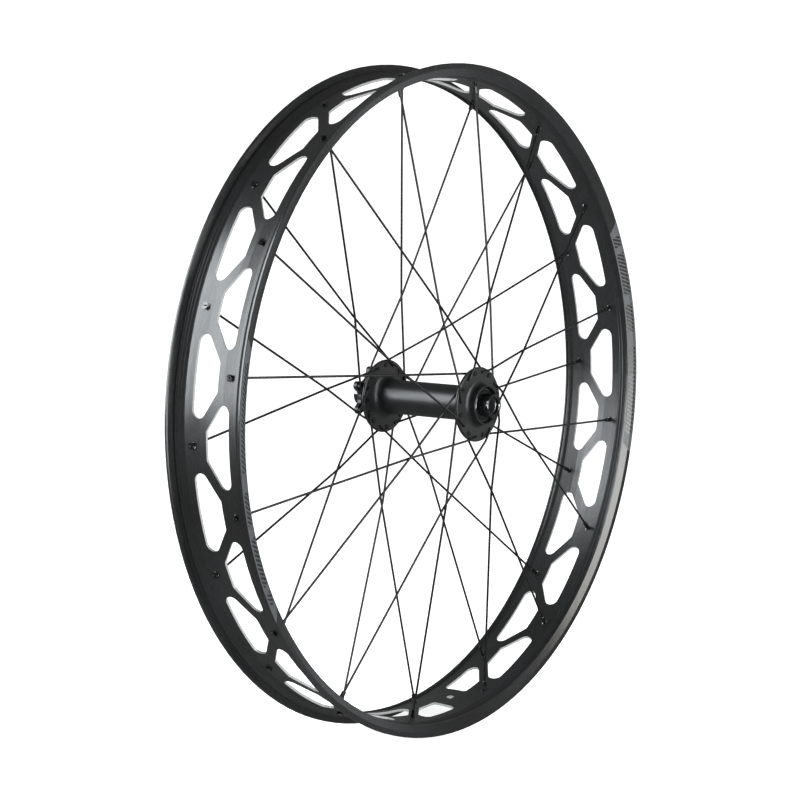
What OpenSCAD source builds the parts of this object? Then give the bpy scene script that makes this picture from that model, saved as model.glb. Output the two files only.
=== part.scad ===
// Front wheel of a fat-tyre bicycle: a wide single-wall rim with weight-saving cutouts, a thru-axle hub
// with a six-bolt disc mount, and 32 spokes laced three-cross with nipples.
// The axle lies along Y with the wheel's centre at the origin and +Z up.
// -Y is the right-hand side of the wheel and +Y is its left-hand side, which carries the brake disc.
// Angles round the wheel are counted from +X towards +Z.

/* [Rim] */
// Outer radius of the rim over its flanges
rim_r = 298; // [296:0.5:300]
// Overall width of the rim
rim_w = 80; // [78:0.5:82]
// Radius of the seat that the tyre's bead rests on
bead_r = 292; // [291.5:0.25:292.5]
// Radius of the bed's tyre side at the middle of the rim
bed_r = 286.5; // [286:0.25:287]
// Thickness of the rim's bed
bed_t = 2.2; // [1.8:0.1:2.4]

/* [Cutouts] */
// Distance from the middle of the rim to a cutout's long side
cut_long = 19.5; // [18.5:0.5:20.5]
// Distance that a cutout reaches past the middle of the rim, to its short side
cut_short = 5.5; // [4.5:0.5:6]
// Greatest half length of a cutout
cut_half = 34; // [32:0.5:34.5]
// Angle between a slanted side and the rim's length
cut_slant = 34.5; // [33:0.5:36]
// Corner radius at the long side
cut_r_long = 6.5; // [5.5:0.5:7]
// Corner radius at the short side
cut_r_short = 4; // [3:0.5:5]
// Half length of the two cutouts beside the valve, on the valve's side
cut_valve = 10.5; // [9:0.5:12]

/* [Valve and nipple holes] */
// Angle of the valve hole
valve_angle = -82.2; // [-82.4:0.1:-82]
// Radius of the valve hole
valve_r = 3.25; // [3:0.25:4.25]
// Distance of the nipple holes from the middle of the rim
nipple_y = 19; // [18.5:0.25:19.5]
// Radius of a nipple hole
nipple_hole_r = 2.7; // [2.65:0.05:2.75]

/* [Hub shell] */
// Outer radius of the spoke flanges
flange_r = 33.2; // [32.5:0.1:34]
// Radius of the circle of spoke holes
spoke_pcd_r = 28.6; // [28.2:0.1:29]
// Thickness of the spoke flanges
flange_t = 3.2; // [3:0.1:3.4]
// Distance of the right flange from the rim's middle plane
right_flange_y = 56.6; // [56:0.1:57]
// Distance of the left flange from the rim's middle plane
left_flange_y = 46.2; // [45.8:0.1:46.6]
// Radius of a spoke hole in a flange
spoke_hole_r = 1.3; // [1.25:0.05:1.4]
// Outer radius of the hub's tube
tube_r = 15.5; // [15:0.25:16]
// End of the right-hand boss, from the rim's middle plane
right_mouth_y = 66.5; // [66:0.25:67]

/* [Disc mount] */
// Distance of the face that the brake disc is bolted to
disc_face_y = 64.5; // [64.25:0.25:64.75]
// Thickness of the arms
disc_arm_t = 3.8; // [3.6:0.1:4.2]
// Radius of the circle of disc bolts
disc_pcd_r = 22; // [21.9:0.1:22.1]
// Radius of a threaded hole for a disc bolt
disc_hole_r = 2.1; // [2:0.05:2.5]
// Angle of the first arm
disc_arm_angle = 33; // [25:1:40]

/* [Axle and end caps] */
// Half of the distance between the two fork faces
axle_half = 75; // [74.5:0.25:75.5]
// Radius of the bore that the fork's thru axle slides into
bore_r = 7.55; // [7.5:0.01:7.6]
// Outer radius of the end caps
cap_r = 10.3; // [10:0.1:10.5]

/* [Bearings] */
// Radius of a bearing's bore
bearing_in_r = 8.5; // [8.5:0.01:8.52]
// Outer radius of a bearing
bearing_out_r = 15; // [14.95:0.01:15]
// Width of a bearing
bearing_w = 7; // [6.9:0.1:7]
// Diameter of a bearing ball
ball_d = 3.969; // [3.9:0.01:4]
// Number of balls in each bearing
ball_count = 11; // [9:1:12]

/* [Spokes] */
// Diameter of a spoke
spoke_d = 2; // [1.8:0.1:2]
// Radius of a spoke's head
spoke_head_r = 2.1; // [1.8:0.1:2.3]
// Radius of the bend beside the head, along the spoke's middle
elbow_r = 1.6; // [1.4:0.1:1.6]

/* [Nipples] */
// Outer radius of a nipple's shank
nipple_r = 1.9; // [1.85:0.05:1.95]
// Length of a nipple, from the middle of its round head
nipple_len = 13.5; // [12:0.5:14]
// Radius of a nipple's round head
nipple_head_r = 3; // [3:0.05:3.1]

/* [Hidden] */
$fn = 64;
SMALL_FN = 32;
// Spokes in the wheel, in each row of the rim and in each of a flange's two families
SPOKES = 32;
ROW = SPOKES / 2;
FAMILY = ROW / 2;
PITCH = 360 / ROW;
FAMILY_PITCH = 360 / FAMILY;
// Number of flange holes that a three-cross spoke passes on its way to the rim
LACING = 3 * PITCH;
// Angles of a nipple hole, and of a cutout's middle, in the right-hand and left-hand rows
RIGHT_HOLE_ANGLE = -9.27;
LEFT_HOLE_ANGLE = 2.03;
// Clearances: between parts that turn past each other, and between parts that are fitted together
RUN = 0.03;
FIT = 0.02;
// Overshoot of a cutting tool past the surface that it cuts
OVER = 1;
ARC_STEPS = 8;

// Rim section
LIP_R = bed_r + 0.3;
RIM_HALF = rim_w / 2;
// The bed is a plain cylinder this far to each side of the rim's middle, so that the valve seats on it
BED_FLAT = 4.7;

// Bearings: pitch radius of the balls, shoulders of the races, seals and cage
BALL_R = ball_d / 2;
PITCH_R = (bearing_in_r + bearing_out_r) / 2;
RACE_IN_R = PITCH_R - 1.3;
RACE_OUT_R = PITCH_R + 1.3;
SEAL_T = 0.5;
SEAL_INSET = 0.2;
CAGE_HALF_T = 0.8;
CAGE_HALF_W = 2.7;
RACE_EDGE = 0.3;
SEAL_SEAT = 0.3;

// Bearing positions and the bearings' seats in the hub shell
MOUTH_DEPTH = 4.5;
MOUTH_R = 16.2;
RIGHT_BEARING_Y = -right_mouth_y + MOUTH_DEPTH + bearing_w / 2;
LEFT_BEARING_Y = disc_face_y - MOUTH_DEPTH - bearing_w / 2;
SHOULDER_R = 13.2;
HOLLOW_R = 12;

// Axle
AXLE_MID_R = 10;
LIP_T = 3.8;
SHIELD_R = 15.6;
CAP_GAP = 0.5;
STEP_R = 13;
LEAD_IN = 0.9;
ORING_R = 0.42;

// Spokes and nipples
SPOKE_R = spoke_d / 2;
KNEE_R = 1.05 * SPOKE_R;
KNEE_HALF = 0.3;
TRIM = 0.15;
EDGE_GAP = 0.15;
OUTER_RUN = 11.5;
INNER_RUN = 3;
CROSS_GAP = 0.16;
HEAD_T = 0.9;
THREAD_END = 1.2;
SEAT_GAP = 0.04;
SEAT_R = bed_r + 1.3;
NIPPLE_SEAT = sqrt(pow(nipple_head_r, 2) - pow(nipple_hole_r, 2)) + SEAT_GAP;
NIPPLE_C = SEAT_R + NIPPLE_SEAT;
NIPPLE_TOP = 0.5;
SLOT_W = 1;
SLOT_DEPTH = 1;
FLAT_HALF = 1.65;
FLAT_LEN = 7;

SPOKE_NODES = [for (i = [0:SPOKES - 1]) str("spoke_", i + 1)];

ANODISED = [0.07, 0.07, 0.075];
RACE_STEEL = [0.72, 0.73, 0.75];
SEAL_RUBBER = [0.12, 0.1, 0.1];
SPOKE_BLACK = [0.05, 0.05, 0.05];

// ---------------------------------------------------------------------------------------------- helpers

// Turns children about the axle, from +X towards +Z
module at(angle) {
    rotate([0, -angle, 0]) children();
}

// Solid of revolution about the axle, from points [radius, y]
module turned(points) {
    rotate([-90, 0, 0]) rotate_extrude() polygon(points);
}

// Straight rod along Y from y0 to y1
module rod(r, y0, y1) {
    translate([0, y0, 0]) rotate([-90, 0, 0]) cylinder(r = r, h = y1 - y0);
}

function arc(centre, r, a0, a1) = [
    for (i = [0:ARC_STEPS])
    let (a = a0 + (a1 - a0) * i / ARC_STEPS)
    centre + r * [cos(a), sin(a)]
];

function polar(r, angle, y) = [r * cos(angle), y, r * sin(angle)];

// The same list of [radius, y] points on the other side of the middle plane, in reverse order
function mirrored(points) = [for (i = [len(points) - 1:-1:0]) [points[i][0], -points[i][1]]];

// --------------------------------------------------------------------------------------------------- rim

// Half of the rim's section as [radius, y]: the tyre side from the middle outwards, then the hub side back
TYRE_SIDE = [
    [bed_r, BED_FLAT],
    [bed_r + 0.35, 12],
    [bed_r + 1.5, 24],
    [bed_r + 1.7, 27.2],
    [bead_r - 0.3, 33.9],
    [bead_r - 0.05, 34.2],
    [bead_r + 0.05, 36.2],
    [bead_r + 0.6, 36.9],
    [rim_r - 0.9, 37.3],
    [rim_r, 38],
    [rim_r, RIM_HALF - 0.3],
    [rim_r - 0.3, RIM_HALF],
    [rim_r - 4.8, RIM_HALF - 0.7]
];
HUB_SIDE = [
    [LIP_R, RIM_HALF - 3.7],
    [LIP_R, RIM_HALF - 4.8],
    [LIP_R + 1.6, RIM_HALF - 5.4],
    [LIP_R + 1.6, 31.8],
    [bed_r - bed_t + 1.8, 27],
    [bed_r - bed_t + 1.5, 24],
    [bed_r - bed_t + 0.35, 12],
    [bed_r - bed_t, BED_FLAT]
];

module rim_hoop() {
    half = concat(TYRE_SIDE, HUB_SIDE);
    rotate([-90, 0, 0]) rotate_extrude($fn = 360) polygon(concat(half, mirrored(half)));
}

// Where a slanted side meets the long-side corner arc, and the centre of the short-side corner arc
LONG_C = [cut_half - cut_r_long, cut_r_long - cut_long];
NORMAL = [sin(cut_slant), cos(cut_slant)];
TANGENT = LONG_C + cut_r_long * NORMAL;
SHORT_RISE = cut_short - cut_r_short - (TANGENT - cut_r_short * NORMAL)[1];
SHORT_C = TANGENT - cut_r_short * NORMAL + SHORT_RISE * [-1 / tan(cut_slant), 1];

// One side of a cutout, from its long side at the bottom to its short side at the top
SLANTED_SIDE = concat(arc(LONG_C, cut_r_long, -90, 90 - cut_slant), arc(SHORT_C, cut_r_short, 90 - cut_slant, 90));
VALVE_R_LONG = 5.5;
VALVE_R_SHORT = 2.5;
VALVE_SIDE = concat(
    arc([cut_valve - VALVE_R_LONG, VALVE_R_LONG - cut_long], VALVE_R_LONG, -90, 0),
    arc([cut_valve - VALVE_R_SHORT, cut_short - VALVE_R_SHORT], VALVE_R_SHORT, 0, 90)
);

function flipped(points) = [for (i = [len(points) - 1:-1:0]) [-points[i][0], points[i][1]]];

// Cutting tool for a cutout. Its sides are given in the plane of the rim's bed.
module cutout(side, other_side) {
    translate([bed_r - 3 * bed_t, 0, 0]) rotate([0, 90, 0])
        linear_extrude(6 * bed_t) polygon(concat(side, flipped(other_side)));
}

// Radial hole through the bed at a given distance from the middle of the rim
module bed_hole(r, y) {
    translate([bed_r - 3 * bed_t, y, 0]) rotate([0, 90, 0]) cylinder(r = r, h = 6 * bed_t, $fn = SMALL_FN);
}

module rim() {
    color(ANODISED) difference() {
        rim_hoop();
        for (k = [0:ROW - 1]) {
            // Each row's cutouts lie midway between its own nipple holes
            beside_valve = k == ROW - 4;
            at(RIGHT_HOLE_ANGLE + (k + 0.5) * PITCH)
                cutout(SLANTED_SIDE, beside_valve ? VALVE_SIDE : SLANTED_SIDE);
            at(LEFT_HOLE_ANGLE + (k + 0.5) * PITCH) mirror([0, 1, 0])
                cutout(beside_valve ? VALVE_SIDE : SLANTED_SIDE, SLANTED_SIDE);
            at(RIGHT_HOLE_ANGLE + k * PITCH) bed_hole(nipple_hole_r, -nipple_y);
            at(LEFT_HOLE_ANGLE + k * PITCH) bed_hole(nipple_hole_r, nipple_y);
        }
        at(valve_angle) bed_hole(valve_r, 0);
    }
}

// --------------------------------------------------------------------------------------------------- hub

// Section of a flange as [radius, y] on the +Y side: from its inner root, round its edge, to its outer root
function flange(y) = [
    [flange_r - 7, y - flange_t / 2],
    [flange_r - 1.1, y - flange_t / 2],
    [flange_r - 0.3, y - flange_t / 2 + 0.5],
    [flange_r, y - 0.3],
    [flange_r, y + 0.3],
    [flange_r - 0.3, y + flange_t / 2 - 0.5],
    [flange_r - 1.1, y + flange_t / 2]
];

// Concave fillet between a tube of radius r and a face at y, which points along dir
function fillet(r, y, size, dir) = [
    for (i = [0:ARC_STEPS])
    let (a = 90 * i / ARC_STEPS)
    [r + size * (1 - sin(a)), y + dir * size * (1 - cos(a))]
];

FLARE = 5.5;
BOSS_R = 17.6;
BOSS_FILLET = 3.6;
NECK_R = 17.5;
NECK_FILLET = 3;
RIGHT_FACE = right_flange_y + flange_t / 2;
LEFT_FACE = left_flange_y + flange_t / 2;
SCALLOP_R = 17.2;
ARM_HALF_W = 4.6;
ARM_TIP_R = 4;

function reversed(points) = [for (i = [len(points) - 1:-1:0]) points[i]];

// Outside of the hub shell from its left end to its right end
LEFT_OUTSIDE = concat(
    [[NECK_R - 0.4, disc_face_y], [NECK_R, disc_face_y - 0.4]],
    reversed(fillet(NECK_R, LEFT_FACE, NECK_FILLET, 1)),
    reversed(flange(left_flange_y)),
    fillet(tube_r, left_flange_y - flange_t / 2, FLARE, -1)
);
RIGHT_OUTSIDE = concat(
    [[BOSS_R - 0.5, right_mouth_y], [BOSS_R, right_mouth_y - 0.5]],
    reversed(fillet(BOSS_R, RIGHT_FACE, BOSS_FILLET, 1)),
    reversed(flange(right_flange_y)),
    fillet(tube_r, right_flange_y - flange_t / 2, FLARE, -1)
);

// Inside of one end: the mouth, the bearing's seat, its shoulder and the hollow tube
function inside(end_y) = [
    [HOLLOW_R, end_y - MOUTH_DEPTH - bearing_w - 2.5],
    [SHOULDER_R, end_y - MOUTH_DEPTH - bearing_w - 1.3],
    [SHOULDER_R, end_y - MOUTH_DEPTH - bearing_w - FIT],
    [bearing_out_r + FIT, end_y - MOUTH_DEPTH - bearing_w - FIT],
    [bearing_out_r + FIT, end_y - MOUTH_DEPTH],
    [MOUTH_R, end_y - MOUTH_DEPTH],
    [MOUTH_R, end_y - 0.4],
    [MOUTH_R + 0.4, end_y]
];

// One arm of the disc mount, from the hub's neck to its round tip
module disc_arm() {
    translate([disc_pcd_r, disc_face_y - disc_arm_t, 0]) rotate([-90, 0, 0])
        cylinder(r = ARM_TIP_R, h = disc_arm_t, $fn = SMALL_FN);
    rotate([-90, 0, 0]) translate([0, 0, disc_face_y - disc_arm_t]) linear_extrude(disc_arm_t)
        polygon([
            [SCALLOP_R - 2, -ARM_HALF_W - 3],
            [SCALLOP_R + 0.9, -ARM_HALF_W],
            [disc_pcd_r, -ARM_TIP_R],
            [disc_pcd_r, ARM_TIP_R],
            [SCALLOP_R + 0.9, ARM_HALF_W],
            [SCALLOP_R - 2, ARM_HALF_W + 3]
        ]);
}

module hub_shell() {
    outside = concat(LEFT_OUTSIDE, mirrored(RIGHT_OUTSIDE));
    hollow = concat(mirrored(inside(right_mouth_y)), inside(disc_face_y));
    color(ANODISED) difference() {
        union() {
            turned(concat(outside, hollow));
            difference() {
                for (k = [0:5]) at(disc_arm_angle + k * 60) disc_arm();
                rod(MOUTH_R + 0.8, disc_face_y - disc_arm_t - OVER, disc_face_y + OVER);
            }
        }
        for (k = [0:5]) at(disc_arm_angle + k * 60) translate([disc_pcd_r, 0, 0])
            rod(disc_hole_r, disc_face_y - disc_arm_t - OVER, disc_face_y + OVER);
        for (k = [0:ROW - 1]) {
            at(RIGHT_HOLE_ANGLE + k * PITCH) translate([spoke_pcd_r, 0, 0])
                rod(spoke_hole_r, -RIGHT_FACE - OVER, -RIGHT_FACE + flange_t + OVER);
            at(LEFT_HOLE_ANGLE + k * PITCH) translate([spoke_pcd_r, 0, 0])
                rod(spoke_hole_r, LEFT_FACE - flange_t - OVER, LEFT_FACE + OVER);
        }
    }
}

// -------------------------------------------------------------------------------------------------- axle

RIGHT_SEAT_Y = right_mouth_y - MOUTH_DEPTH;
LEFT_SEAT_Y = disc_face_y - MOUTH_DEPTH;
TUBE_END = axle_half - LIP_T - 0.05;

module axle_tube() {
    color(RACE_STEEL) turned([
        [bore_r, -TUBE_END + 0.45],
        [bore_r + 0.45, -TUBE_END],
        [bearing_in_r, -TUBE_END],
        [bearing_in_r, -RIGHT_SEAT_Y + bearing_w + FIT],
        [AXLE_MID_R, -RIGHT_SEAT_Y + bearing_w + FIT],
        [AXLE_MID_R, LEFT_SEAT_Y - bearing_w - FIT],
        [bearing_in_r, LEFT_SEAT_Y - bearing_w - FIT],
        [bearing_in_r, TUBE_END],
        [bore_r + 0.45, TUBE_END],
        [bore_r, TUBE_END - 0.45]
    ]);
}

// End cap on the +Y side that starts at a bearing's outer face
module end_cap(seat_y) {
    shield_y = seat_y + CAP_GAP;
    end_y = axle_half;
    ring_y = end_y - LIP_T - 2;
    color(ANODISED) difference() {
        turned([
            [bearing_in_r + FIT, seat_y + FIT],
            [bearing_in_r + 1.6, seat_y + FIT],
            [bearing_in_r + 1.6, shield_y],
            [SHIELD_R, shield_y],
            [SHIELD_R, shield_y + 0.6],
            [SHIELD_R - 0.3, shield_y + 0.8],
            [STEP_R, shield_y + 0.8],
            [STEP_R - 0.8, shield_y + 1.6],
            [STEP_R - 1.1, shield_y + 1.6],
            [STEP_R - 1.1, shield_y + 0.8],
            [cap_r, shield_y + 0.8],
            [cap_r, end_y - 0.5],
            [cap_r - 0.5, end_y],
            [bore_r + LEAD_IN, end_y],
            [bore_r, end_y - LEAD_IN],
            [bore_r, end_y - LIP_T],
            [bearing_in_r + FIT, end_y - LIP_T]
        ]);
        rotate([-90, 0, 0]) translate([0, 0, ring_y]) rotate_extrude()
            translate([bearing_in_r + ORING_R, 0]) circle(r = ORING_R + FIT, $fn = SMALL_FN);
    }
}

module right_end_cap() {
    mirror([0, 1, 0]) end_cap(RIGHT_SEAT_Y);
}

module left_end_cap() {
    end_cap(LEFT_SEAT_Y);
}

module cap_o_rings() {
    color(SEAL_RUBBER) for (side = [-1, 1])
        rotate([-90, 0, 0]) translate([0, 0, side * (axle_half - LIP_T - 2)]) rotate_extrude()
            translate([bearing_in_r + ORING_R + FIT / 2, 0]) circle(r = ORING_R, $fn = SMALL_FN);
}

// ---------------------------------------------------------------------------------------------- bearings

module ball_groove() {
    rotate([-90, 0, 0]) rotate_extrude() translate([PITCH_R, 0]) circle(r = BALL_R + RUN);
}

module inner_race(y) {
    half = bearing_w / 2;
    color(RACE_STEEL) translate([0, y, 0]) difference() {
        turned([
            [bearing_in_r + FIT / 2, -half + RACE_EDGE],
            [bearing_in_r + RACE_EDGE, -half],
            [RACE_IN_R, -half],
            [RACE_IN_R, half],
            [bearing_in_r + RACE_EDGE, half],
            [bearing_in_r + FIT / 2, half - RACE_EDGE]
        ]);
        ball_groove();
    }
}

module outer_race(y) {
    half = bearing_w / 2;
    seat = half - SEAL_INSET - SEAL_T - FIT;
    color(RACE_STEEL) translate([0, y, 0]) difference() {
        turned([
            [bearing_out_r - RACE_EDGE, -half],
            [bearing_out_r, -half + RACE_EDGE],
            [bearing_out_r, half - RACE_EDGE],
            [bearing_out_r - RACE_EDGE, half],
            [RACE_OUT_R + SEAL_SEAT, half],
            [RACE_OUT_R + SEAL_SEAT, seat],
            [RACE_OUT_R, seat],
            [RACE_OUT_R, -seat],
            [RACE_OUT_R + SEAL_SEAT, -seat],
            [RACE_OUT_R + SEAL_SEAT, -half]
        ]);
        ball_groove();
    }
}

module balls(y) {
    color(RACE_STEEL) for (k = [0:ball_count - 1])
        at(k * 360 / ball_count) translate([PITCH_R, y, 0]) sphere(r = BALL_R);
}

module cage(y) {
    color("peru") translate([0, y, 0]) difference() {
        turned([
            [PITCH_R - CAGE_HALF_T, -CAGE_HALF_W],
            [PITCH_R + CAGE_HALF_T, -CAGE_HALF_W],
            [PITCH_R + CAGE_HALF_T, CAGE_HALF_W],
            [PITCH_R - CAGE_HALF_T, CAGE_HALF_W]
        ]);
        for (k = [0:ball_count - 1])
            at(k * 360 / ball_count) rotate([0, 90, 0])
                translate([0, 0, PITCH_R - 2 * CAGE_HALF_T]) cylinder(r = BALL_R + 2 * RUN, h = 4 * CAGE_HALF_T);
    }
}

// A bearing's two rubber seals, held by the outer race and running close to the inner one
module seals(y) {
    outer = bearing_w / 2 - SEAL_INSET;
    color(SEAL_RUBBER) translate([0, y, 0]) for (side = [-1, 1]) mirror([0, side < 0 ? 1 : 0, 0])
        turned([
            [RACE_IN_R + RUN, outer - SEAL_T],
            [RACE_OUT_R + SEAL_SEAT - FIT, outer - SEAL_T],
            [RACE_OUT_R + SEAL_SEAT - FIT, outer],
            [RACE_IN_R + RUN + 0.3, outer],
            [RACE_IN_R + RUN, outer - 0.2]
        ]);
}

// ------------------------------------------------------------------------------------ spokes and nipples

// Radius at which two mirrored spokes cross, for a spoke whose flange hole is at angle a from the crossing
function cross_radius(a) =
    spoke_pcd_r * NIPPLE_C * sin(LACING) / (spoke_pcd_r * sin(a) + NIPPLE_C * sin(LACING - a));
THIRD_CROSS = 2.5 * PITCH;
CROSS_R = cross_radius(THIRD_CROSS);
IN_PLANE = norm(polar(spoke_pcd_r, THIRD_CROSS, 0) - [CROSS_R, 0, 0]);
CROSS_T = IN_PLANE / norm(polar(spoke_pcd_r, 0, 0) - polar(NIPPLE_C, LACING, 0));

// Distances from the rim's middle plane of a spoke's middle: beside the flange, and where spokes interlace
function beside_y(flange_y, out) = flange_y + out * (flange_t / 2 + SPOKE_R + EDGE_GAP);
function cross_y(flange_y, out) =
    flange_y + (nipple_y - flange_y) * CROSS_T - out * (SPOKE_R + CROSS_GAP / 2);

// The family of a spoke: side is -1 right and 1 left, out is 1 where the spoke leaves its flange's outer
// face and -1 where it leaves the inner one. Outer spokes run to a smaller angle, inner ones to a larger.
function hole_angle(side, out, k) =
    (side < 0 ? RIGHT_HOLE_ANGLE : LEFT_HOLE_ANGLE) + PITCH * (out > 0 ? 2 : 1) + k * FAMILY_PITCH;
function nipple_point(side, out, k) =
    polar(NIPPLE_C, hole_angle(side, out, k) - out * LACING, side * nipple_y);
function cross_point(side, out, k) =
    let (flange_y = side < 0 ? right_flange_y : left_flange_y)
    polar(CROSS_R, hole_angle(side, out, k) - out * THIRD_CROSS, side * cross_y(flange_y, out));

// Straight stretch of a spoke between two points of its own plane, cut back at the ends that meet a knee
module stretch(a, b, trim_a, trim_b) {
    d = b - a;
    translate([a[0], a[1], 0]) rotate(atan2(d[1], d[0])) translate([trim_a, 0, 0]) rotate([0, 90, 0])
        cylinder(r = SPOKE_R, h = norm(d) - trim_a - trim_b, $fn = SMALL_FN);
}

// Slightly swollen knee at p, where a spoke coming from a turns towards b
module knee(a, p, b) {
    d = (p - a) / norm(p - a) + (b - p) / norm(b - p);
    translate([p[0], p[1], 0]) rotate(atan2(d[1], d[0])) rotate([0, 90, 0])
        cylinder(r = KNEE_R, h = 2 * KNEE_HALF, center = true, $fn = SMALL_FN);
}

// A spoke bends in one plane, which holds its neck and its line to the rim. Points in that plane are
// [distance from the flange hole, y].
module spoke(side, out, k) {
    flange_y = side < 0 ? right_flange_y : left_flange_y;
    hole = polar(spoke_pcd_r, hole_angle(side, out, k), 0);
    nipple = nipple_point(side, out, k);
    flat = [nipple[0] - hole[0], 0, nipple[2] - hole[2]];
    away = side * out;
    head_y = side * flange_y - away * (flange_t / 2 + FIT);
    bend_y = side * beside_y(flange_y, out);
    neck_end = bend_y - away * elbow_r;
    edge = [elbow_r + (out > 0 ? OUTER_RUN : INNER_RUN), bend_y];
    lace = [IN_PLANE, side * cross_y(flange_y, out)];
    seat = [norm(flat), nipple[1]];
    end = seat - THREAD_END * (seat - lace) / norm(seat - lace);
    color(SPOKE_BLACK) translate(hole) at(atan2(flat[2], flat[0])) {
        rod(spoke_head_r, min(head_y, head_y - away * HEAD_T), max(head_y, head_y - away * HEAD_T));
        rod(SPOKE_R, min(head_y, neck_end), max(head_y, neck_end));
        translate([elbow_r, neck_end, 0]) rotate(away > 0 ? 90 : 180) rotate_extrude(angle = 90)
            translate([elbow_r, 0]) circle(r = SPOKE_R, $fn = SMALL_FN);
        stretch([elbow_r, bend_y], edge, 0, TRIM);
        knee([elbow_r, bend_y], edge, lace);
        stretch(edge, lace, TRIM, TRIM);
        knee(edge, lace, end);
        stretch(lace, end, TRIM, 0);
    }
}

// A nipple at its seat, with its axis along the end of its spoke
module nipple(side, out, k) {
    seat = nipple_point(side, out, k);
    d = seat - cross_point(side, out, k);
    tilt = acos(d[2] / norm(d));
    turn = atan2(d[1], d[0]);
    translate(seat) rotate([0, tilt, turn]) difference() {
        union() {
            intersection() {
                sphere(r = nipple_head_r, $fn = SMALL_FN);
                translate([0, 0, -nipple_head_r - NIPPLE_TOP]) cylinder(r = 2 * nipple_head_r, h = nipple_head_r + 2 * NIPPLE_TOP);
            }
            rotate_extrude($fn = SMALL_FN) polygon([
                [0, 0],
                [nipple_r, 0],
                [nipple_r, 0.5 - nipple_len],
                [nipple_r - 0.4, -nipple_len],
                [0, -nipple_len]
            ]);
        }
        // Bore for the spoke, slot for a screwdriver and four flats for a spoke key
        translate([0, 0, -nipple_len - OVER]) cylinder(r = SPOKE_R + RUN, h = nipple_len + OVER, $fn = SMALL_FN);
        translate([-SLOT_W / 2, -2 * nipple_head_r, NIPPLE_TOP - SLOT_DEPTH])
            cube([SLOT_W, 4 * nipple_head_r, SLOT_DEPTH + OVER]);
        for (q = [0:3]) rotate(q * 90) translate([FLAT_HALF, -nipple_r, -nipple_len - OVER])
            cube([nipple_r, 2 * nipple_r, FLAT_LEN + OVER]);
    }
}

module nipples(side) {
    color(SPOKE_BLACK) for (out = [-1, 1]) for (k = [0:FAMILY - 1]) nipple(side, out, k);
}

// Spokes 1 to 16 are the right side's and 17 to 32 the left side's; each side's outer family comes first
module numbered_spoke(i) {
    spoke(i < ROW ? -1 : 1, floor(i / FAMILY) % 2 == 0 ? 1 : -1, i % FAMILY);
}

rim();
hub_shell();
axle_tube();
right_end_cap();
left_end_cap();
cap_o_rings();
inner_race(RIGHT_BEARING_Y);  // right_inner_race
outer_race(RIGHT_BEARING_Y);  // right_outer_race
balls(RIGHT_BEARING_Y);  // right_balls
cage(RIGHT_BEARING_Y);  // right_cage
seals(RIGHT_BEARING_Y);  // right_seals
inner_race(LEFT_BEARING_Y);  // left_inner_race
outer_race(LEFT_BEARING_Y);  // left_outer_race
balls(LEFT_BEARING_Y);  // left_balls
cage(LEFT_BEARING_Y);  // left_cage
seals(LEFT_BEARING_Y);  // left_seals
nipples(-1);  // right_nipples
nipples(1);  // left_nipples
for (i = [0:SPOKES - 1]) numbered_spoke(i);
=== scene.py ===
"""Looks of the spoked wheel, in metres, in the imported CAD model's frame: the axle along Y, +Z up."""

import math

import bmesh
import bpy
from mathutils import Matrix, Vector


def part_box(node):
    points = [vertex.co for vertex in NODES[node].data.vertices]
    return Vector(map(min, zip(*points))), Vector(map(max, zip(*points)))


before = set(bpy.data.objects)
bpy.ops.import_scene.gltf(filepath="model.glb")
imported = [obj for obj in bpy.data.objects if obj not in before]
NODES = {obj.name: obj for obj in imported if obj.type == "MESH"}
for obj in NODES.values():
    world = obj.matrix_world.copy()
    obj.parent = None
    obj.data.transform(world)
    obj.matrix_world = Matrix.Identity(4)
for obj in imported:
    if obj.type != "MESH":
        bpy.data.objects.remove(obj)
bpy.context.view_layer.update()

LOW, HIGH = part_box("rim")
RIM_R = HIGH.x
RIM_HALF = HIGH.y
FLOOR_Z = LOW.z


# ------------------------------------------------------------------------------------------ node helpers


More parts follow.
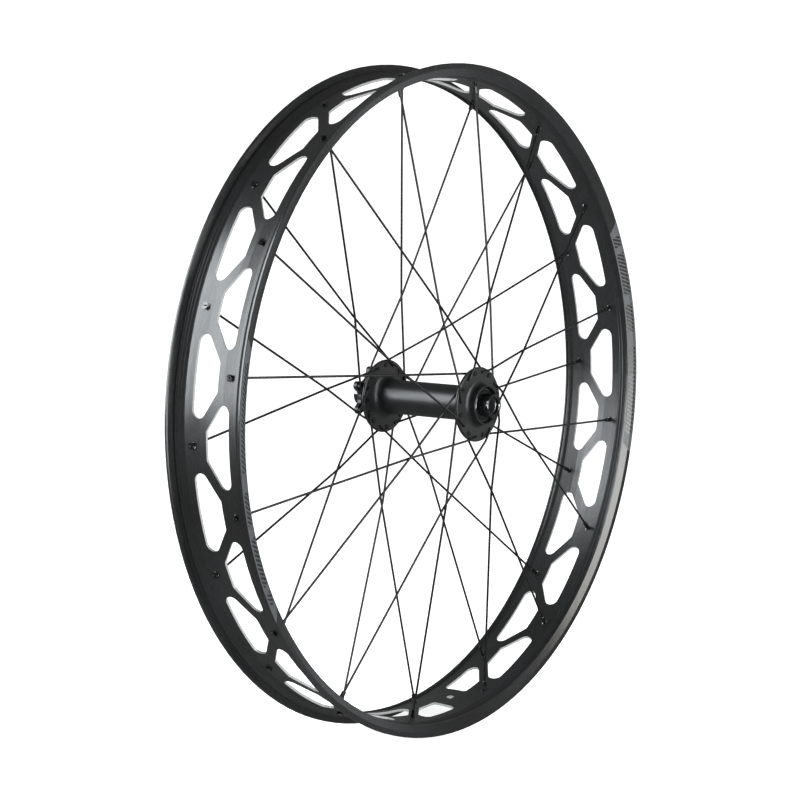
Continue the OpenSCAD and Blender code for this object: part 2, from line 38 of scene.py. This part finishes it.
class Nodes:
    """A material's node tree with short calls that add and link nodes."""

    def __init__(self, name):
        self.material = bpy.data.materials.new(name)
        self.material.use_nodes = True
        self.tree = self.material.node_tree
        self.tree.nodes.clear()
        self.out = self.tree.nodes.new("ShaderNodeOutputMaterial")
        self.shader = self.tree.nodes.new("ShaderNodeBsdfPrincipled")
        self.tree.links.new(self.shader.outputs[0], self.out.inputs["Surface"])

    def feed(self, socket, value):
        """Links value to the socket where it is a socket, and else sets the socket to it."""
        if isinstance(value, bpy.types.NodeSocket):
            self.tree.links.new(value, socket)
        else:
            socket.default_value = value

    def math(self, operation, a, b=0.0, c=0.0):
        node = self.tree.nodes.new("ShaderNodeMath")
        node.operation = operation
        for socket, value in zip(node.inputs, (a, b, c)):
            self.feed(socket, value)
        return node.outputs[0]

    def position(self):
        """The three object coordinates. They turn with the part."""
        node = self.tree.nodes.new("ShaderNodeTexCoord")
        split = self.tree.nodes.new("ShaderNodeSeparateXYZ")
        self.tree.links.new(node.outputs["Object"], split.inputs[0])
        return split.outputs[0], split.outputs[1], split.outputs[2]

    def facing(self, x, y, z):
        """How squarely the surface faces along a vector of the part, from 0 edge-on to 1."""
        node = self.tree.nodes.new("ShaderNodeTexCoord")
        dot = self.tree.nodes.new("ShaderNodeVectorMath")
        dot.operation = "DOT_PRODUCT"
        self.tree.links.new(node.outputs["Normal"], dot.inputs[0])
        unit = self.tree.nodes.new("ShaderNodeVectorMath")
        unit.operation = "NORMALIZE"
        self.tree.links.new(self.point(x, y, z), unit.inputs[0])
        self.tree.links.new(unit.outputs[0], dot.inputs[1])
        return self.math("ABSOLUTE", dot.outputs["Value"])

    def point(self, x, y, z):
        """A vector from three numbers or sockets."""
        node = self.tree.nodes.new("ShaderNodeCombineXYZ")
        for socket, value in zip(node.inputs, (x, y, z)):
            self.feed(socket, value)
        return node.outputs[0]

    def noise(self, vector, scale, detail=3.0, roughness=0.5):
        node = self.tree.nodes.new("ShaderNodeTexNoise")
        self.tree.links.new(vector, node.inputs["Vector"])
        node.inputs["Scale"].default_value = scale
        node.inputs["Detail"].default_value = detail
        node.inputs["Roughness"].default_value = roughness
        return node.outputs[0]

    def spread(self, value, low, high, start=0.0, end=1.0):
        """Maps value from start..end to low..high, without going past either."""
        node = self.tree.nodes.new("ShaderNodeMapRange")
        self.feed(node.inputs["Value"], value)
        node.inputs["From Min"].default_value = start
        node.inputs["From Max"].default_value = end
        node.inputs["To Min"].default_value = low
        node.inputs["To Max"].default_value = high
        return node.outputs[0]

    def mix(self, factor, a, b):
        """Mixes two colours."""
        node = self.tree.nodes.new("ShaderNodeMix")
        node.data_type = "RGBA"
        self.feed(node.inputs[0], factor)
        for socket, value in ((node.inputs[6], a), (node.inputs[7], b)):
            self.feed(socket, value)
        return node.outputs[2]

    def bump(self, height, strength, distance):
        """Bumps the surface by height times distance in metres."""
        node = self.tree.nodes.new("ShaderNodeBump")
        node.inputs["Strength"].default_value = strength
        node.inputs["Distance"].default_value = distance
        self.feed(node.inputs["Height"], height)
        self.tree.links.new(node.outputs[0], self.shader.inputs["Normal"])

    def within(self, value, low, high, soft):
        """1 where value lies from low to high, with soft ends."""
        rise = self.spread(value, 0.0, 1.0, low - soft, low + soft)
        fall = self.spread(value, 1.0, 0.0, high - soft, high + soft)
        return self.math("MULTIPLY", rise, fall)

    def polar(self):
        """Radius from the axle, angle round it in radians, and y."""
        x, y, z = self.position()
        squares = self.math("ADD", self.math("MULTIPLY", x, x), self.math("MULTIPLY", z, z))
        radius = self.math("SQRT", squares)
        return radius, self.math("ARCTAN2", z, x), y

    def set(self, **values):
        """Sets or feeds the shader's sockets. An underscore stands for a space."""
        for name, value in values.items():
            self.feed(self.shader.inputs[name.replace("_", " ")], value)


def rgb(value, tint=(1.0, 1.0, 1.0)):
    """A grey of this value, tinted."""
    return (value * tint[0], value * tint[1], value * tint[2], 1.0)


# --------------------------------------------------------------------------------------------- materials


# Plain grey panels printed on both side faces of the rim: middle angles and half length in degrees,
# and inner and outer radius. They widen outwards by PANEL_SLANT radians per metre
PANELS = (7.75, 187.75)
PANEL_HALF = 21.35
PANEL_LOW, PANEL_HIGH = 0.2870, 0.2975
PANEL_SLANT = 3.0
PANEL_GREY = rgb(0.06, (0.93, 1.0, 1.08))
# Hatched fields on a panel, from its middle: start and end in degrees, and their strokes
HATCHED = ((-19.5, -2.5), (0.5, 6.0), (8.0, 16.6), (18.0, 20.2))
STROKE_PITCH = 0.0042
STROKE_SLANT = 0.8
# Turned lines on the slope from the bed to the bead seat: from and to which side distance, and pitch
SLOPE_LOW, SLOPE_HIGH = 0.0274, 0.0337
LINE_PITCH = 0.0024
LINE_HEIGHT = 8.0
# The side face starts at this side distance at the radius FACE_RADIUS, and slopes with the rim
FACE_RADIUS = 0.2868
FACE_LOW, FACE_HIGH = 0.0361, 0.0385
FACE_SLOPE = 0.45
# The bed reaches this far from the middle plane
BED_HALF = 0.0236
# Painted sheen: the light grey put on the cutout and hole walls in place of the light they catch
WALL_SHEEN_GREY = rgb(0.32)
WELD_ANGLE = 97.8
WELD_HALF = 0.0012
EDGE = 0.0001


def rim_panels(m, radius, angle, along, face):
    """1 on the printed panels and less in the strokes of their hatched fields."""
    band = m.math("MULTIPLY", face, m.within(radius, PANEL_LOW, PANEL_HIGH, EDGE))
    slant = m.math("MULTIPLY", m.math("SUBTRACT", radius, PANEL_LOW), PANEL_SLANT)
    reach = m.math("ADD", slant, math.radians(PANEL_HALF))
    inner = m.within(radius, PANEL_LOW + 0.0012, PANEL_HIGH - 0.0016, EDGE)
    panel, hatched = 0.0, 0.0
    for middle in PANELS:
        from_middle = m.math("SUBTRACT", angle, math.radians(middle))
        turned = m.math("WRAP", from_middle, math.pi, -math.pi)
        panel = m.math("ADD", panel, m.math("LESS_THAN", m.math("ABSOLUTE", turned), reach))
        for start, end in HATCHED:
            field = m.within(turned, math.radians(start), math.radians(end), 0.0005)
            hatched = m.math("ADD", hatched, field)
    panel = m.math("MULTIPLY", panel, band)
    across = m.math("ADD", along, m.math("MULTIPLY", radius, STROKE_SLANT))
    wave = m.math("SINE", m.math("MULTIPLY", across, 2 * math.pi / STROKE_PITCH))
    strokes = m.spread(wave, 0.0, 1.0, -0.5, -0.25)
    hatched = m.math("MULTIPLY", m.math("MULTIPLY", hatched, inner), strokes)
    return m.math("MULTIPLY", panel, m.math("SUBTRACT", 1.0, m.math("MULTIPLY", hatched, 0.95)))


def rim_material():
    """Black anodised aluminium: faint circular brushing, turned slopes, panels and a weld seam."""
    m = Nodes("rim_anodised")
    radius, angle, y = m.polar()
    side = m.math("ABSOLUTE", y)
    along = m.math("MULTIPLY", angle, RIM_R)
    here = m.point(along, y, radius)
    brushed = m.noise(m.point(m.math("MULTIPLY", along, 0.04), side, radius), 2600.0, 2.0)
    cloudy = m.noise(here, 9.0, 4.0)
    speckle = m.noise(here, 1400.0, 2.0)
    slope = m.within(side, SLOPE_LOW, SLOPE_HIGH, EDGE)
    lines = m.math("SINE", m.math("MULTIPLY", side, 2 * math.pi / LINE_PITCH))
    grooves = m.math("MULTIPLY", slope, lines)
    rise = m.math("MULTIPLY", m.math("SUBTRACT", radius, FACE_RADIUS), FACE_SLOPE)
    limit = m.math("MINIMUM", m.math("ADD", FACE_LOW, rise), FACE_HIGH)
    face = m.math("GREATER_THAN", side, limit)
    panel = rim_panels(m, radius, angle, along, face)
    # Weld seam across the hoop
    near = m.math("ABSOLUTE", m.math("SUBTRACT", angle, math.radians(WELD_ANGLE)))
    seam = m.spread(near, 1.0, 0.0, 0.0, WELD_HALF)
    # Walls of the cutouts and holes: a painted sheen, a pale grey that stands in for the light these
    # walls catch
    x, _, z = m.position()
    bed = m.math("LESS_THAN", side, BED_HALF)
    wall_sheen = m.math("MULTIPLY", bed, m.spread(m.facing(x, 0.0, z), 1.0, 0.0, 0.35, 0.6))
    dark, light = rgb(0.007), rgb(0.012, (0.97, 1.0, 1.04))
    base = m.mix(m.spread(cloudy, 0.0, 1.0, 0.35, 0.65), dark, light)
    base = m.mix(wall_sheen, base, WALL_SHEEN_GREY)
    base = m.mix(m.math("MULTIPLY", seam, 0.5), base, rgb(0.05))
    base = m.mix(m.math("MULTIPLY", panel, 0.85), base, PANEL_GREY)
    # The side faces are glossier than the rest, and the panels' print is duller
    rough = m.spread(brushed, 0.26, 0.36, 0.3, 0.7)
    rough = m.math("ADD", rough, m.math("MULTIPLY", face, -0.1))
    rough = m.math("ADD", rough, m.math("MULTIPLY", panel, 0.22))
    m.set(Base_Color=base, Roughness=rough, IOR=1.56)
    height = m.math("ADD", m.math("MULTIPLY", brushed, 0.25), m.math("MULTIPLY", speckle, 0.2))
    height = m.math("ADD", height, m.math("MULTIPLY", grooves, LINE_HEIGHT))
    height = m.math("ADD", height, m.math("MULTIPLY", seam, -1.5))
    m.bump(height, 0.3, 0.00005)
    return m.material


ANODISED_TINT = (0.97, 1.0, 1.05)


def anodised(name, value, rough, ior=1.55):
    """Smooth black anodised aluminium with faint turning lines round the axle."""
    m = Nodes(name)
    radius, angle, y = m.polar()
    rings = m.noise(m.point(m.math("MULTIPLY", angle, 0.002), y, radius), 3500.0, 2.0)
    cloudy = m.noise(m.point(m.math("MULTIPLY", angle, 0.02), y, radius), 70.0, 3.0)
    fine = m.noise(m.point(m.math("MULTIPLY", angle, 0.02), y, radius), 5200.0, 1.0)
    dark, light = rgb(value * 0.8, ANODISED_TINT), rgb(value * 1.25, ANODISED_TINT)
    base = m.mix(m.spread(cloudy, 0.0, 1.0, 0.3, 0.7), dark, light)
    uneven = m.spread(rings, rough - 0.05, rough + 0.06, 0.3, 0.7)
    m.set(Base_Color=base, Roughness=uneven, IOR=ior)
    height = m.math("ADD", m.math("MULTIPLY", rings, 0.2), m.math("MULTIPLY", fine, 0.15))
    m.bump(height, 0.12, 0.00002)
    return m.material


def turned_metal(name, value, rough):
    """Bare machined metal with turning lines round the axle."""
    m = Nodes(name)
    radius, angle, y = m.polar()
    rings = m.noise(m.point(m.math("MULTIPLY", angle, 0.001), y, radius), 4200.0, 3.0, 0.6)
    stain = m.noise(m.point(m.math("MULTIPLY", angle, 0.02), y, radius), 160.0, 3.0)
    base = m.mix(m.spread(stain, 0.0, 1.0, 0.3, 0.7), rgb(value * 0.86), rgb(value))
    uneven = m.spread(rings, rough - 0.07, rough + 0.1, 0.25, 0.75)
    m.set(Base_Color=base, Metallic=1.0, Roughness=uneven)
    m.bump(rings, 0.25, 0.00003)
    return m.material


def coated_wire(name, value, rough, grain, ior=1.38, metal=0.0):
    """Coated steel or brass with a slightly uneven coat and fine scuffs, or bare with metal=1."""
    m = Nodes(name)
    x, y, z = m.position()
    here = m.point(x, y, z)
    patchy = m.noise(here, 260.0, 3.0)
    fine = m.noise(here, grain, 2.0)
    base = m.mix(m.spread(patchy, 0.0, 1.0, 0.35, 0.7), rgb(value * 0.7), rgb(value * 1.4))
    uneven = m.spread(fine, rough - 0.06, rough + 0.08, 0.3, 0.7)
    m.set(Base_Color=base, Metallic=metal, Roughness=uneven, IOR=ior)
    m.bump(fine, 0.3, 0.00003)
    return m.material


def rubber(name, value):
    """Matt rubber with a fine moulded grain."""
    m = Nodes(name)
    x, y, z = m.position()
    here = m.point(x, y, z)
    grain = m.noise(here, 4000.0, 3.0, 0.6)
    dusty = m.noise(here, 220.0, 3.0)
    base = m.mix(m.spread(dusty, 0.0, 1.0, 0.4, 0.75), rgb(value), rgb(value * 2.1))
    m.set(Base_Color=base, Roughness=m.spread(grain, 0.62, 0.8, 0.3, 0.7), IOR=1.5)
    m.bump(grain, 0.35, 0.00003)
    return m.material


def nylon(name):
    """Natural nylon with moulding flecks."""
    m = Nodes(name)
    x, y, z = m.position()
    here = m.point(x, y, z)
    flecks = m.noise(here, 900.0, 4.0, 0.6)
    dark, light = (0.5, 0.4, 0.26, 1.0), (0.62, 0.53, 0.38, 1.0)
    base = m.mix(m.spread(flecks, 0.0, 1.0, 0.3, 0.7), dark, light)
    m.set(Base_Color=base, Roughness=m.spread(flecks, 0.42, 0.55, 0.3, 0.7), IOR=1.53)
    m.bump(flecks, 0.2, 0.00003)
    return m.material


def assign(names, material):
    """Puts the material on the named CAD nodes in place of their plain one."""
    for name in names:
        o = NODES[name]
        o.data.materials.clear()
        o.data.materials.append(material)


RIM_BLACK = rim_material()
HUB_BLACK = anodised("hub_anodised", 0.007, 0.37)
CAP_BLACK = anodised("cap_anodised", 0.006, 0.1, ior=1.8)
AXLE_ALLOY = turned_metal("axle_alloy", 0.55, 0.32)
RACE_STEEL = turned_metal("race_steel", 0.62, 0.22)
BALL_STEEL = coated_wire("ball_steel", 0.55, 0.12, 6000.0, metal=1.0)
SPOKE_BLACK = coated_wire("spoke_coated", 0.006, 0.3, 5000.0)
NIPPLE_BLACK = coated_wire("nipple_coated", 0.004, 0.11, 4000.0, ior=1.6)
SEAL_BLACK = rubber("seal_rubber", 0.02)
O_RING_BLACK = rubber("o_ring_rubber", 0.015)
CAGE_NYLON = nylon("cage_nylon")

SIDES = ("right", "left")
SPOKES = sorted(name for name in NODES if name.startswith("spoke_"))
for names, material in (
    (["rim"], RIM_BLACK),
    (["hub_shell"], HUB_BLACK),
    (["axle_tube"], AXLE_ALLOY),
    ([s + "_end_cap" for s in SIDES], CAP_BLACK),
    (["cap_o_rings"], O_RING_BLACK),
    ([s + "_inner_race" for s in SIDES] + [s + "_outer_race" for s in SIDES], RACE_STEEL),
    ([s + "_balls" for s in SIDES], BALL_STEEL),
    ([s + "_cage" for s in SIDES], CAGE_NYLON),
    ([s + "_seals" for s in SIDES], SEAL_BLACK),
    ([s + "_nipples" for s in SIDES], NIPPLE_BLACK),
    (SPOKES, SPOKE_BLACK),
):
    assign(names, material)


# ------------------------------------------------------------------------------------------------ studio


# Studio sheet: half width, where the floor starts and ends along the camera's look, the radius of the
# bend up into the backdrop and its top, and the gap that keeps the floor clear of the rim
FLOOR_HALF = 16.0
FLOOR_FRONT, FLOOR_BACK = -14.0, 5.0
BEND, BEND_STEPS = 3.0, 24
BACKDROP_TOP = 9.0
FLOOR_GAP = 0.0002


def studio():
    """Pale floor that curves up into a backdrop, in one swept sheet."""
    mesh = bmesh.new()
    line = [(FLOOR_FRONT, 0.0), (FLOOR_BACK, 0.0)]
    for i in range(1, BEND_STEPS + 1):
        a = math.radians(90 * i / BEND_STEPS)
        line.append((FLOOR_BACK + BEND * math.sin(a), BEND * (1 - math.cos(a))))
    line.append((FLOOR_BACK + BEND, BACKDROP_TOP))
    rows = [[mesh.verts.new((s * FLOOR_HALF, d, h)) for s in (-1, 1)] for d, h in line]
    for a, b in zip(rows, rows[1:]):
        mesh.faces.new((a[0], a[1], b[1], b[0])).smooth = True
    data = bpy.data.meshes.new("studio_floor")
    mesh.to_mesh(data)
    mesh.free()
    floor = bpy.data.objects.new("studio_floor", data)
    bpy.context.scene.collection.objects.link(floor)
    # The sheet's depth runs the way the camera looks
    floor.rotation_euler = (0, 0, LOOK_ANGLE)
    floor.location = (0, 0, FLOOR_Z - FLOOR_GAP)
    m = Nodes("studio_paper")
    x, y, z = m.position()
    soft = m.noise(m.point(x, y, z), 3.0, 2.0)
    m.set(Base_Color=m.mix(soft, rgb(0.86), rgb(0.9)), Roughness=0.9, IOR=1.3)
    m.set(Emission_Color=(1.0, 1.0, 1.0, 1.0), Emission_Strength=0.85)
    data.materials.append(m.material)
    # The object's gloss shows the soft lights and the dim room, not the white paper
    floor.visible_glossy = False


def panel_light(name, at, target, width, height, power, tint):
    """A soft rectangular light that points at target."""
    light = bpy.data.lights.new(name, "AREA")
    light.shape = "RECTANGLE"
    light.size, light.size_y = width, height
    light.energy = power
    light.color = tint
    o = bpy.data.objects.new(name, light)
    bpy.context.scene.collection.objects.link(o)
    o.location = at
    o.rotation_euler = (Vector(target) - Vector(at)).to_track_quat("-Z", "Y").to_euler()


# Camera: where it stands for a rim of CAMERA_RIM_R, its right and up, and its lens in millimetres on
# a sensor of SENSOR
CAMERA_RIM_R = 0.2978
CAMERA_AT = Vector((-1.56692, -1.16047, 0.24204)) * (RIM_R / CAMERA_RIM_R)
CAMERA_RIGHT = Vector((0.604685, -0.796466, 0.0))
CAMERA_UP = Vector((0.098277, 0.074613, 0.992360))
LENS, SENSOR = 98.56, 36.0
LOOK_ANGLE = math.atan2(-CAMERA_AT.y, -CAMERA_AT.x) - math.pi / 2


def camera():
    """The camera at the photograph's viewing angle."""
    data = bpy.data.cameras.new("camera")
    data.lens = LENS
    data.sensor_width = SENSOR
    data.clip_start, data.clip_end = 0.05, 60.0
    o = bpy.data.objects.new("camera", data)
    bpy.context.scene.collection.objects.link(o)
    back = CAMERA_RIGHT.cross(CAMERA_UP)
    turn = Matrix((CAMERA_RIGHT, CAMERA_UP, back)).transposed().to_4x4()
    o.matrix_world = Matrix.Translation(CAMERA_AT) @ turn
    bpy.context.scene.camera = o


camera()
studio()

WORLD_STRENGTH = 0.17
world = bpy.data.worlds.new("studio_air")
bpy.context.scene.world = world
world.use_nodes = True
air = world.node_tree.nodes["Background"].inputs
air["Color"].default_value = rgb(1.0)
air["Strength"].default_value = WORLD_STRENGTH
bpy.context.scene.view_settings.view_transform = "Standard"

# Soft lights: name, place, target, width, height, watts and tint
COOL, WARM = (0.92, 0.97, 1.0), (1.0, 0.98, 0.93)
CENTRE = (0.0, 0.0, 0.0)
panel_light("key_left", (-1.17, 0.84, 0.56), CENTRE, 0.64, 1.25, 25.5, COOL)
panel_light("fill_right", (-0.2, -1.6, 0.45), CENTRE, 1.8, 1.2, 24.0, COOL)
panel_light("strip_right", (0.54, -1.5, 0.14), (0.2, 0.0, 0.0), 0.63, 0.72, 10.5, WARM)
panel_light("low_front", (-1.02, -1.5, -0.2), CENTRE, 0.6, 0.6, 11.0, COOL)
panel_light("rim_right", (1.9, -0.6, -0.3), CENTRE, 0.8, 0.8, 1.0, COOL)
